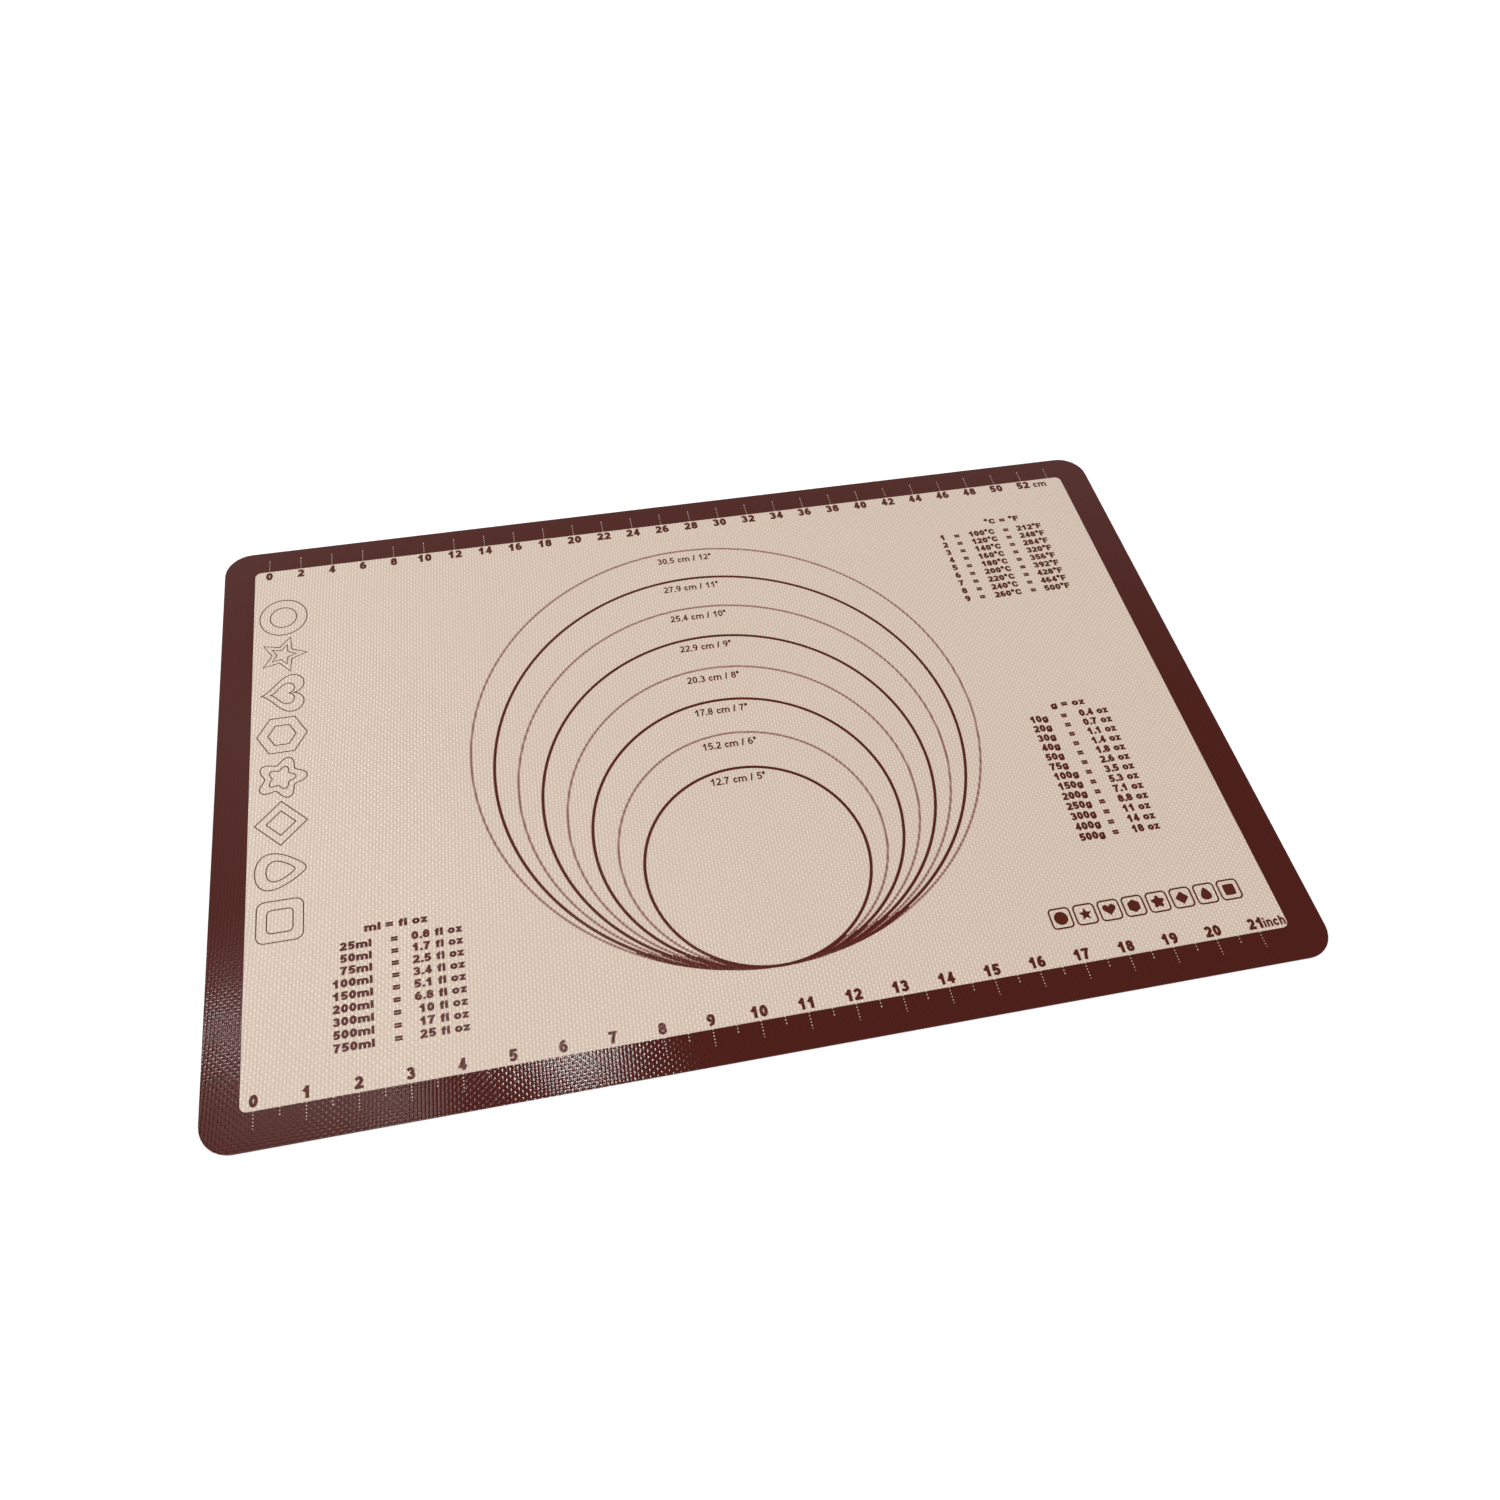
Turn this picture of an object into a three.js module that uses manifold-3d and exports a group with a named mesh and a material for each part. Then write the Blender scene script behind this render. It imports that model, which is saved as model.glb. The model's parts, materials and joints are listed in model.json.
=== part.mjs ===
// Silicone baking mat: a woven glass cloth with a silicone coat on each side. The face is printed with a
// coloured border, which carries a centimetre and an inch scale, and with a nest of round rolling guides.
//
// Millimetres, +Z up. The origin is the middle of the underside. +X runs along the long side, and +Y points
// to the edge with the centimetre scale.
import * as THREE from "three";
import { mergeVertices } from "three/addons/utils/BufferGeometryUtils.js";
import Module from "manifold-3d";

const wasm = await Module();
wasm.setup();

// Cut sheet
const MAT_LENGTH = 597;
const MAT_WIDTH = 396;
const CORNER_RADIUS = 17;

// Layers, from the underside up
const BACK_COAT_THICKNESS = 0.2;
const CLOTH_THICKNESS = 0.25;
const FACE_COAT_THICKNESS = 0.2;
const PRINT_THICKNESS = 0.05;

// Printed border: how far it reaches in from each cut edge, and the rounding of the field inside it
const BORDER_LEFT = 19.2;
const BORDER_RIGHT = 19.9;
const BORDER_FRONT = 19.4;
const BORDER_BACK = 17.3;
const FIELD_CORNER_RADIUS = 3.8;

// Length scales: lines left bare in the border, open to the field
const TICK_WIDTH = 0.5;
const CM_TICK_STEP = 20;
const CM_TICK_LENGTH = 9.8;
const CM_ZERO_INSET = 9;
const INCH_TICK_STEP = 25.4;
const INCH_TICK_LENGTH = 9;
const HALF_INCH_TICK_LENGTH = 4.3;
const INCH_ZERO_INSET = 6.6;

// Rolling guides: rings that share their lowest point. A ring's size is the diameter of its line's middle, and
// every second line is a fine one.
const SMALLEST_RING = 127;
const RING_STEP = 25.4;
const RING_FRONT_INSET = 28.1;
const RING_BACK_CLEARANCE = 15;
const BOLD_LINE_WIDTH = 1.75;
const FINE_LINE_WIDTH = 1.35;
const LINE_GAP = 0.3;

// Facets of a quarter-round corner and of a full ring
const CORNER_FACETS = 10;
const RING_FACETS = 96;

// Heights of the layers
const clothBottom = BACK_COAT_THICKNESS;
const faceCoatBottom = clothBottom + CLOTH_THICKNESS;
const printBottom = faceCoatBottom + FACE_COAT_THICKNESS;

// The bare field that the border frames
const field = {
  left: -MAT_LENGTH / 2 + BORDER_LEFT,
  right: MAT_LENGTH / 2 - BORDER_RIGHT,
  front: -MAT_WIDTH / 2 + BORDER_FRONT,
  back: MAT_WIDTH / 2 - BORDER_BACK,
};
const fieldMiddle = (field.left + field.right) / 2;
const lastTickPlace = field.right - FIELD_CORNER_RADIUS - TICK_WIDTH;

const silicone = (color) => new THREE.MeshStandardMaterial({ color, roughness: 0.5, metalness: 0 });
const creamSilicone = silicone(0xd6c4b4);
const brownInk = silicone(0x55302b);
const glassCloth = new THREE.MeshStandardMaterial({ color: 0xe6dfd3, roughness: 0.8, metalness: 0 });

const mat = new THREE.Group();
mat.name = "silicone_baking_mat";

function addPiece(name, geometry, material, bottom) {
  const mesh = new THREE.Mesh(geometry, material);
  mesh.name = name;
  mesh.position.z = bottom;
  mat.add(mesh);
}

// Straight extrusion upwards. An arc gets two facets for each curve segment.
function extrude(shape, depth, arcFacets) {
  const curveSegments = arcFacets / 2;
  return new THREE.ExtrudeGeometry(shape, { depth, curveSegments, bevelEnabled: false });
}

// Outline of the cut sheet, a rectangle with round corners
function sheetOutline() {
  const x = MAT_LENGTH / 2 - CORNER_RADIUS;
  const y = MAT_WIDTH / 2 - CORNER_RADIUS;
  const quarter = Math.PI / 2;
  const outline = new THREE.Shape();
  outline.absarc(x, y, CORNER_RADIUS, 0, quarter);
  outline.absarc(-x, y, CORNER_RADIUS, quarter, 2 * quarter);
  outline.absarc(-x, -y, CORNER_RADIUS, 2 * quarter, 3 * quarter);
  outline.absarc(x, -y, CORNER_RADIUS, 3 * quarter, 4 * quarter);
  return outline;
}

// Places and lengths of the centimetre lines, as many as fit between the field's round corners
function centimetreTicks() {
  const ticks = [];
  for (let x = field.left + CM_ZERO_INSET; x <= lastTickPlace; x += CM_TICK_STEP) {
    ticks.push({ x, length: CM_TICK_LENGTH });
  }
  return ticks;
}

// Places and lengths of the inch lines, with a short line halfway between two of them
function inchTicks() {
  const ticks = [];
  for (let x = field.left + INCH_ZERO_INSET; x <= lastTickPlace; x += INCH_TICK_STEP) {
    if (ticks.length > 0) ticks.push({ x: x - INCH_TICK_STEP / 2, length: HALF_INCH_TICK_LENGTH });
    ticks.push({ x, length: INCH_TICK_LENGTH });
  }
  return ticks;
}

// One notch of the field's outline, walked along X in the given direction
function notch(path, tick, edge, outward, direction) {
  const half = (direction * TICK_WIDTH) / 2;
  path.lineTo(tick.x - half, edge);
  path.lineTo(tick.x - half, edge + outward * tick.length);
  path.lineTo(tick.x + half, edge + outward * tick.length);
  path.lineTo(tick.x + half, edge);
}

// Outline of the bare field, counterclockwise from its front left corner, with the scales' lines as notches
function fieldOutline() {
  const r = FIELD_CORNER_RADIUS;
  const quarter = Math.PI / 2;
  const path = new THREE.Path();
  path.absarc(field.left + r, field.front + r, r, 2 * quarter, 3 * quarter);
  for (const tick of inchTicks()) notch(path, tick, field.front, -1, 1);
  path.absarc(field.right - r, field.front + r, r, 3 * quarter, 4 * quarter);
  path.absarc(field.right - r, field.back - r, r, 0, quarter);
  for (const tick of centimetreTicks().reverse()) notch(path, tick, field.back, 1, -1);
  path.absarc(field.left + r, field.back - r, r, quarter, 2 * quarter);
  return path;
}

function disc(radius) {
  const shape = new THREE.Shape();
  shape.absarc(0, 0, radius, 0, 2 * Math.PI);
  return shape;
}

function toSolid(geometry) {
  const bare = geometry.clone();
  bare.deleteAttribute("normal");
  bare.deleteAttribute("uv");
  const merged = mergeVertices(bare);
  const vertProperties = merged.attributes.position.array;
  const triVerts = new Uint32Array(merged.index.array);
  return new wasm.Manifold(new wasm.Mesh({ numProp: 3, vertProperties, triVerts }));
}

function toGeometry(solid) {
  const { vertProperties, triVerts } = solid.getMesh();
  const geometry = new THREE.BufferGeometry();
  geometry.setAttribute("position", new THREE.BufferAttribute(vertProperties, 3));
  geometry.setIndex(new THREE.BufferAttribute(triVerts, 1));
  geometry.computeVertexNormals();
  return geometry;
}

// Radii and centres of the guide rings, smallest first, as many as the field has room for
function guideRings() {
  const lowest = field.front + RING_FRONT_INSET;
  const room = field.back - RING_BACK_CLEARANCE - lowest;
  const rings = [];
  for (let size = SMALLEST_RING; size + BOLD_LINE_WIDTH <= room; size += RING_STEP) {
    const lineWidth = rings.length % 2 === 0 ? BOLD_LINE_WIDTH : FINE_LINE_WIDTH;
    const inner = (size - lineWidth) / 2;
    const outer = (size + lineWidth) / 2;
    rings.push({ inner, outer, y: lowest + size / 2 });
  }
  return rings;
}

// A ring's line stops just short of the smaller rings, where they all run together at the front. The cutters
// stand out of the line's two faces by its own thickness.
function ringGeometry(ring, smallerRings) {
  const shape = disc(ring.outer);
  shape.holes.push(disc(ring.inner));
  const line = extrude(shape, PRINT_THICKNESS, RING_FACETS);
  line.translate(fieldMiddle, ring.y, 0);
  let solid = toSolid(line);
  for (const smaller of smallerRings) {
    const cutter = extrude(disc(smaller.outer + LINE_GAP), 3 * PRINT_THICKNESS, RING_FACETS);
    cutter.translate(fieldMiddle, smaller.y, -PRINT_THICKNESS);
    solid = solid.subtract(toSolid(cutter));
  }
  return toGeometry(solid);
}

// Sheet: back coat, cloth and face coat are cut to the same outline
const sheet = sheetOutline();
addPiece("back_coat", extrude(sheet, BACK_COAT_THICKNESS, CORNER_FACETS), creamSilicone, 0);
addPiece("glass_cloth", extrude(sheet, CLOTH_THICKNESS, CORNER_FACETS), glassCloth, clothBottom);
addPiece("face_coat", extrude(sheet, FACE_COAT_THICKNESS, CORNER_FACETS), creamSilicone, faceCoatBottom);

// Print on the face
const frame = sheetOutline();
frame.holes.push(fieldOutline());
addPiece("printed_border", extrude(frame, PRINT_THICKNESS, CORNER_FACETS), brownInk, printBottom);

const rings = guideRings();
rings.forEach((ring, i) => {
  addPiece(`guide_ring_${i + 1}`, ringGeometry(ring, rings.slice(0, i)), brownInk, printBottom);
});

export default mat;
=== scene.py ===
"""Looks of the silicone baking mat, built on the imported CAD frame.

Sizes are in millimetres unless a name says otherwise, and every mesh is put in metres. X runs along the long
side, Y points to the edge with the centimetre scale, and Z is up out of the printed face.
"""

import json
import logging
import math
from abc import ABC, abstractmethod
from dataclasses import dataclass, field
from enum import Enum

import bpy
import numpy as np
from mathutils import Matrix, Quaternion, Vector

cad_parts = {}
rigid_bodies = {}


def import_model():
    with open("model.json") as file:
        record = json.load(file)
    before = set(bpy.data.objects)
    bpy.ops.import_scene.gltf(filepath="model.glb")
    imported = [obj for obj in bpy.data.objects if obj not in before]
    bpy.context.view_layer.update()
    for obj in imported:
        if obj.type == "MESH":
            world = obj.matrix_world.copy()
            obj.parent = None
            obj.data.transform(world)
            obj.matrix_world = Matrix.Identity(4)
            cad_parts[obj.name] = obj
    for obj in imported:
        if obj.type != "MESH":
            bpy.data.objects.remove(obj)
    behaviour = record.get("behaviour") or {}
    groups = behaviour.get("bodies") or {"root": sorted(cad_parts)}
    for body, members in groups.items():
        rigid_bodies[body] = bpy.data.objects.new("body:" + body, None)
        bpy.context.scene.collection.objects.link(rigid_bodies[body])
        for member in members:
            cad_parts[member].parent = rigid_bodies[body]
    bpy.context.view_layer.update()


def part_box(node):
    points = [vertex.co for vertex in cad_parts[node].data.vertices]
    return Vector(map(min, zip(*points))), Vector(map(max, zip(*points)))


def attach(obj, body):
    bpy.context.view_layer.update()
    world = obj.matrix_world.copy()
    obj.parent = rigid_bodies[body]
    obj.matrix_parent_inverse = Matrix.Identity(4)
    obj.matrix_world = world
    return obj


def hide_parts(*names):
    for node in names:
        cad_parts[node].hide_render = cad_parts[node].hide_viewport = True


LOG = logging.getLogger("baking_mat")

Point = tuple[float, float]
Place = tuple[float, float, float]
Material = bpy.types.Material
Piece = bpy.types.Object
Socket = bpy.types.NodeSocket
Tree = bpy.types.NodeTree

MM = 0.001
BODY = "root"
BAKE_MAP = "OFBake"

CREAM_SLOT = "cream_silicone"
CLOTH_SLOT = "glass_cloth"

MM_PER_INCH = 25.4
CM_PER_INCH = 2.54
ML_PER_FLUID_OUNCE = 29.57
GRAMS_PER_OUNCE = 28.35

QUARTER_TURN = math.pi / 2

# Front left and back right corner of the field inside the border
FIELD_LOW: Point = (-279.3, -178.6)
FIELD_HIGH: Point = (278.6, 180.7)


# Flat films: everything printed on the mat


@dataclass
class Film:
    """A thin flat solid, or several, as arrays that one mesh is made from.

    Attributes:
        verts: Corners as an (N, 3) array in millimetres.
        faces: Corner numbers of each face.
        shown: For each face, whether it is on the side that the eye sees.
    """

    verts: np.ndarray = field(default_factory=lambda: np.zeros((0, 3)))
    faces: list[list[int]] = field(default_factory=list)
    shown: list[bool] = field(default_factory=list)

    def add(self, other: "Film") -> None:
        """Puts another film's faces into this one.

        Args:
            other: The film to add.
        """
        start = len(self.verts)
        self.verts = np.concatenate([self.verts, other.verts])
        self.faces += [[start + corner for corner in face] for face in other.faces]
        self.shown += other.shown


@dataclass(frozen=True)
class Level:
    """Heights between which a film lies.

    Attributes:
        bottom: Height of its underside.
        top: Height of its upper side.
    """

    bottom: float
    top: float


def band(left: np.ndarray, right: np.ndarray, level: Level, closed: bool) -> Film:
    """Carries a flat rectangular profile along a path.

    At each station the profile has four corners: the left and right points of the path's band, at the bottom
    and at the top. Neighbouring profiles are joined by four faces, and an open band gets a face at each end.

    Args:
        left: Left edge of the band, seen along the path, as an (N, 2) array.
        right: Right edge of the band, with a point for each point of the left edge.
        level: Heights of the film.
        closed: Whether the last station joins the first.

    Returns:
        The closed solid, with its top shown.
    """
    count = len(left)
    plan = np.stack([left, right, right, left], 1)
    heights = np.array([level.bottom, level.bottom, level.top, level.top])
    z = np.broadcast_to(heights, (count, 4))[..., None]
    verts = np.concatenate([plan, z], 2).reshape(-1, 3)
    here = np.arange(count if closed else count - 1)
    there = (here + 1) % count
    side = np.arange(4)
    corners = [
        4 * here[:, None] + side,
        4 * here[:, None] + (side + 1) % 4,
        4 * there[:, None] + (side + 1) % 4,
        4 * there[:, None] + side,
    ]
    faces = np.stack(corners, 2)[..., ::-1].reshape(-1, 4).tolist()
    shown = np.tile(side == 2, len(here)).tolist()
    if not closed:
        last = 4 * (count - 1)
        faces += [[0, 1, 2, 3], [last + 3, last + 2, last + 1, last]]
        shown += [False, False]
    return Film(verts, faces, shown)


def runs(is_in: np.ndarray) -> list[np.ndarray]:
    """Splits a closed loop of stations into its unbroken runs.

    Args:
        is_in: For each station, whether it belongs to a run.

    Returns:
        The station numbers of each run of two or more, in the loop's order.
    """
    count = len(is_in)
    if is_in.all():
        return [np.arange(count)]
    starts = np.flatnonzero(is_in & ~np.roll(is_in, 1))
    if len(starts) == 0:
        return []
    order = (starts[0] + np.arange(count)) % count
    kept = order[is_in[order]]
    breaks = np.flatnonzero(np.diff(kept) % count != 1) + 1
    return [run for run in np.split(kept, breaks) if len(run) > 1]


def slab(outline: np.ndarray, level: Level, shows_top: bool) -> Film:
    """Raises a flat outline between two heights, with one face on each side and a wall of quads.

    Args:
        outline: The outline, counterclockwise, as an (N, 2) array.
        level: Heights of the slab.
        shows_top: Whether the eye sees its top, and otherwise its underside.

    Returns:
        The closed solid. Its faces are the top, the underside and then the wall.
    """
    count = len(outline)
    low = np.column_stack([outline, np.full(count, level.bottom)])
    high = np.column_stack([outline, np.full(count, level.top)])
    here = np.arange(count)
    there = (here + 1) % count
    wall = np.stack([here, there, count + there, count + here], 1).tolist()
    faces = [(count + here).tolist(), here[::-1].tolist(), *wall]
    return Film(np.concatenate([low, high]), faces, [shows_top, not shows_top] + [False] * count)


def stroke(path: np.ndarray, pen: Point, level: Level, closed: bool) -> Film:
    """Draws a line along a path, with mitred corners and square ends.

    Each point is moved to both sides along the mean of the normals of the two pieces that meet there, by half
    the pen's size over the cosine of half the turn. That stretch is limited, so a sharp corner stays blunt.

    Args:
        path: The line's middle as an (N, 2) array.
        pen: Width of an upright line and thickness of a level one.
        level: Heights of the film.
        closed: Whether the line runs back to its start.

    Returns:
        The closed solid.
    """
    longest_mitre = 1.7
    half_pen = np.array(pen) / 2
    steps = np.roll(path, -1, 0) - path if closed else np.diff(path, axis=0)
    along = steps / np.linalg.norm(steps, axis=1, keepdims=True)
    if closed:
        before = np.roll(along, 1, 0)
        after = along
        points = path
    else:
        before = np.concatenate([along[:1], along])
        after = np.concatenate([along, along[-1:]])
        points = path.copy()
        points[0] -= along[0] * half_pen
        points[-1] += along[-1] * half_pen
    mean = before + after
    mean /= np.maximum(np.linalg.norm(mean, axis=1, keepdims=True), 1e-6)
    cosine = np.maximum((mean * after).sum(1, keepdims=True), 1 / longest_mitre)
    normal = np.column_stack([-mean[:, 1], mean[:, 0]])
    offset = normal * half_pen / cosine
    return band(points + offset, points - offset, level, closed)


def rounded_rectangle(size: Point, middle: Point, radius: float, facets: int) -> np.ndarray:
    """Outline of a rectangle with round corners, counterclockwise from the right end of its lower side.

    Args:
        size: Width and height.
        middle: Its centre.
        radius: Radius of its corners.
        facets: Facets of each corner.

    Returns:
        The outline as an (N, 2) array, with facets + 1 points for each corner.
    """
    angles = np.linspace(0, QUARTER_TURN, facets + 1)
    centres = np.array([[1, -1], [1, 1], [-1, 1], [-1, -1]]) * (np.array(size) / 2 - radius)
    turns = np.array([-1, 0, 1, 2]) * QUARTER_TURN
    swing = angles[None, :] + turns[:, None]
    arcs = np.stack([np.cos(swing), np.sin(swing)], 2) * radius
    return (centres[:, None, :] + arcs).reshape(-1, 2) + np.array(middle)


# Lettering: plain upright figures drawn with strokes of even width

# Angle between two points of an arc, in degrees
ARC_STEP = 24.0


@dataclass(frozen=True)
class Arc:
    """Part of an ellipse in a glyph's box.

    Attributes:
        x: Middle across the box.
        y: Middle up the box.
        rx: Half width.
        ry: Half height.
        start: Angle where it starts, in degrees.
        end: Angle where it ends, in degrees.
    """

    x: float
    y: float
    rx: float
    ry: float
    start: float = 0.0
    end: float = 360.0

    def points(self) -> np.ndarray:
        """Points along the arc, about one for each step.

        Returns:
            The points as an (N, 2) array.
        """
        count = max(3, round(abs(self.end - self.start) / ARC_STEP) + 1)
        angles = np.radians(np.linspace(self.start, self.end, count))
        return np.column_stack([self.x + self.rx * np.cos(angles), self.y + self.ry * np.sin(angles)])

    @property
    def is_whole(self) -> bool:
        """Whether the arc is a full ellipse."""
        return abs(self.end - self.start) == 360.0


@dataclass(frozen=True)
class Glyph:
    """One figure or letter. Its box is 1 wide and 1 high between the middles of its outermost strokes.

    Attributes:
        width: Width over the cap height.
        height: Height of the box over the cap height.
        paths: Strokes, each a row of points and arcs.
    """

    width: float
    height: float
    paths: tuple


X_HEIGHT = 0.73
ASCENDER = 1.42
ROUND = Arc(0.5, 0.5, 0.5, 0.5)
ARCH = ((0, 0.5), Arc(0.5, 0.62, 0.5, 0.38, 180, 0), (1, 0))

GLYPHS: dict[str, Glyph] = {
    "0": Glyph(0.73, 1, ((ROUND,),)),
    "1": Glyph(0.73, 1, (((0.66, 0), (0.66, 1)), ((0.62, 0.96), (0.14, 0.7)))),
    "2": Glyph(0.73, 1, ((Arc(0.49, 0.7, 0.48, 0.3, 138, -30), (0.06, 0.02)), ((0, 0), (1, 0)))),
    "3": Glyph(
        0.73,
        1,
        ((Arc(0.44, 0.755, 0.45, 0.245, 130, -62),), (Arc(0.44, 0.265, 0.54, 0.265, 62, -130),)),
    ),
    "4": Glyph(0.74, 1, (((0.75, 0), (0.75, 1)), ((0.7, 0.97), (0.06, 0.25), (1, 0.25)))),
    "5": Glyph(0.73, 1, (((0.94, 1), (0.2, 1), (0.1, 0.52)), (Arc(0.46, 0.3, 0.54, 0.3, 124, -122),))),
    "6": Glyph(0.73, 1, ((Arc(0.5, 0.29, 0.5, 0.29),), (Arc(0.55, 0.42, 0.55, 0.58, 195, 86),))),
    "7": Glyph(0.73, 1, (((0, 1), (0.97, 1), (0.5, 0.5), (0.32, 0)),)),
    "8": Glyph(0.73, 1, ((Arc(0.5, 0.76, 0.44, 0.24),), (Arc(0.5, 0.27, 0.5, 0.27),))),
    "9": Glyph(0.73, 1, ((Arc(0.5, 0.71, 0.5, 0.29),), (Arc(0.45, 0.58, 0.55, 0.58, 15, -94),))),
    ".": Glyph(0.25, 1, (((0, 0), (1, 0)),)),
    "/": Glyph(0.4, 1, (((0, 0), (1, 1)),)),
    "=": Glyph(0.72, 1, (((0, 0.27), (1, 0.27)), ((0, 0.66), (1, 0.66)))),
    '"': Glyph(0.4, 1, (((0, 1), (0, 0.74)), ((1, 1), (1, 0.74)))),
    "°": Glyph(0.5, 1, ((Arc(0.5, 0.98, 0.5, 0.16),),)),
    "C": Glyph(0.88, 1, ((Arc(0.5, 0.5, 0.5, 0.5, 40, 320),),)),
    "F": Glyph(0.72, 1, (((0, 0), (0, 1), (1, 1)), ((0, 0.5), (0.85, 0.5)))),
    "c": Glyph(0.66, X_HEIGHT, ((Arc(0.5, 0.5, 0.5, 0.5, 45, 315),),)),
    "f": Glyph(
        0.44,
        X_HEIGHT,
        (((0.4, 0), (0.4, 1), Arc(0.95, 1.1, 0.55, 0.32, 180, 95)), ((0, 1), (0.95, 1))),
    ),
    "g": Glyph(0.75, X_HEIGHT, ((ROUND,), ((1, 1), (1, 0), Arc(0.5, -0.06, 0.5, 0.36, 0, -150)))),
    "h": Glyph(0.66, X_HEIGHT, (((0, 0), (0, ASCENDER)), ARCH)),
    "i": Glyph(0.25, X_HEIGHT, (((0, 0), (0, 0.93)), ((0, 1.46), (0, 1.5)))),
    "l": Glyph(0.25, X_HEIGHT, (((0, 0), (0, ASCENDER)),)),
    "m": Glyph(
        1.2,
        X_HEIGHT,
        (
            ((0, 0), (0, 1)),
            ((0, 0.5), Arc(0.25, 0.66, 0.25, 0.34, 180, 0), (0.5, 0)),
            ((0.5, 0.5), Arc(0.75, 0.66, 0.25, 0.34, 180, 0), (1, 0)),
        ),
    ),
    "n": Glyph(0.66, X_HEIGHT, (((0, 0), (0, 1)), ARCH)),
    "o": Glyph(0.77, X_HEIGHT, ((ROUND,),)),
    "z": Glyph(0.63, X_HEIGHT, (((0, 1), (0.97, 1), (0.03, 0), (1, 0)),)),
}
SPACE_WIDTH = 0.36

# Thickness of a level stroke over the width of an upright one
LEVEL_STROKE = 0.82

# How far each further stroke of a glyph lies below the one before, so that no two tops coincide
STROKE_STEP = 0.003


class Weight(Enum):
    """Weight of lettering: the width of an upright stroke over the cap height."""

    BOLD = 0.305
    MEDIUM = 0.235
    REGULAR = 0.21


class Align(Enum):
    """Which part of a line of lettering stands at its given place: the share of its width left of it."""

    LEFT = 0.0
    CENTRE = 0.5
    RIGHT = 1.0


@dataclass(frozen=True)
class Lettering:
    """Style of one kind of lettering.

    Attributes:
        cap_height: Height of figures and capitals.
        weight: Weight of the strokes.
        stretch: Width over that of the plain design.
        gap: Room between two figures over the cap height.
    """

    cap_height: float
    weight: Weight
    stretch: float
    gap: float

    def line_width(self, text: str) -> float:
        """Width of a line of text from ink to ink.

        Args:
            text: The line.

        Returns:
            The width.
        """
        advances = [SPACE_WIDTH if letter == " " else GLYPHS[letter].width for letter in text]
        return (sum(advances) + self.gap * (len(text) - 1)) * self.cap_height * self.stretch

    def draw(self, text: str, place: Point, level: Level, align: Align = Align.CENTRE) -> Film:
        """Draws one line of text.

        A stroke's points go from the glyph's box to the mat by one scale across and one up. Both are taken so
        that the ink's outer edges fill the glyph's width and height.

        Args:
            text: The line.
            place: Point on its baseline that it is aligned to.
            level: Heights of the film.
            align: Which part of the line stands at that point.

        Returns:
            The strokes as one film.
        """
        stem = self.cap_height * self.weight.value
        pen = np.array([stem * self.stretch, stem * LEVEL_STROKE])
        x = place[0] - align.value * self.line_width(text)
        film = Film()
        for letter in text:
            if letter == " ":
                x += (SPACE_WIDTH + self.gap) * self.cap_height * self.stretch
                continue
            glyph = GLYPHS[letter]
            width = glyph.width * self.cap_height * self.stretch
            height = glyph.height * self.cap_height
            scale = np.maximum(np.array([width, height]) - pen, 1e-3)
            corner = np.array([x, place[1]]) + pen / 2
            for number, parts in enumerate(glyph.paths):
                lower = Level(level.bottom, level.top - number * STROKE_STEP)
                rows = [part.points() if isinstance(part, Arc) else np.array([part], float) for part in parts]
                path = np.concatenate(rows)
                is_whole = isinstance(parts[0], Arc) and parts[0].is_whole
                path = path[:-1] if is_whole else path
                film.add(stroke(corner + path * scale, pen, lower, is_whole))
            x += width + self.gap * self.cap_height * self.stretch
        return film


# Finishes


def linear(code: str) -> tuple[float, float, float, float]:
    """Turns an sRGB hex code into linear colour.

    Args:
        code: Six hex digits after a number sign.

    Returns:
        Red, green, blue and an alpha of 1.
    """
    values = np.array([int(code[i : i + 2], 16) for i in (1, 3, 5)]) / 255
    curved = np.where(values <= 0.04045, values / 12.92, ((values + 0.055) / 1.055) ** 2.4)
    return (*curved.tolist(), 1.0)


# Node types that are used often
MATH = "ShaderNodeMath"
VECTOR_MATH = "ShaderNodeVectorMath"
MAP_RANGE = "ShaderNodeMapRange"
MIX = "ShaderNodeMix"

# Inputs and output of a colour Mix node, which has others for numbers and vectors
MIX_FIRST = 6
MIX_SECOND = 7
MIX_RESULT = 2


def add_node(
    tree: Tree,
    kind: str,
    links: dict | None = None,
    out: int | str = 0,
    **settings: object,
) -> Socket | None:
    """Adds one node with its settings and links.

    Args:
        tree: Node tree to add it to.
        kind: Blender's name of the node type.
        links: For an input's name or number, the output that feeds it or the value that it holds.
        out: Name or number of the output that is used.
        **settings: The node's own properties.

    Returns:
        That output, or None for a node without outputs.
    """
    made = tree.nodes.new(kind)
    for name, value in settings.items():
        setattr(made, name, value)
    for name, value in (links or {}).items():
        if isinstance(value, Socket):
            tree.links.new(value, made.inputs[name])
        else:
            made.inputs[name].default_value = value
    return made.outputs[out] if len(made.outputs) else None


def new_material(name: str) -> tuple[Material, Tree]:
    """Makes an empty material.

    Args:
        name: Its name.

    Returns:
        The material and its node tree.
    """
    material = bpy.data.materials.new(name)
    material.use_nodes = True
    material.node_tree.nodes.clear()
    return material, material.node_tree


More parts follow.
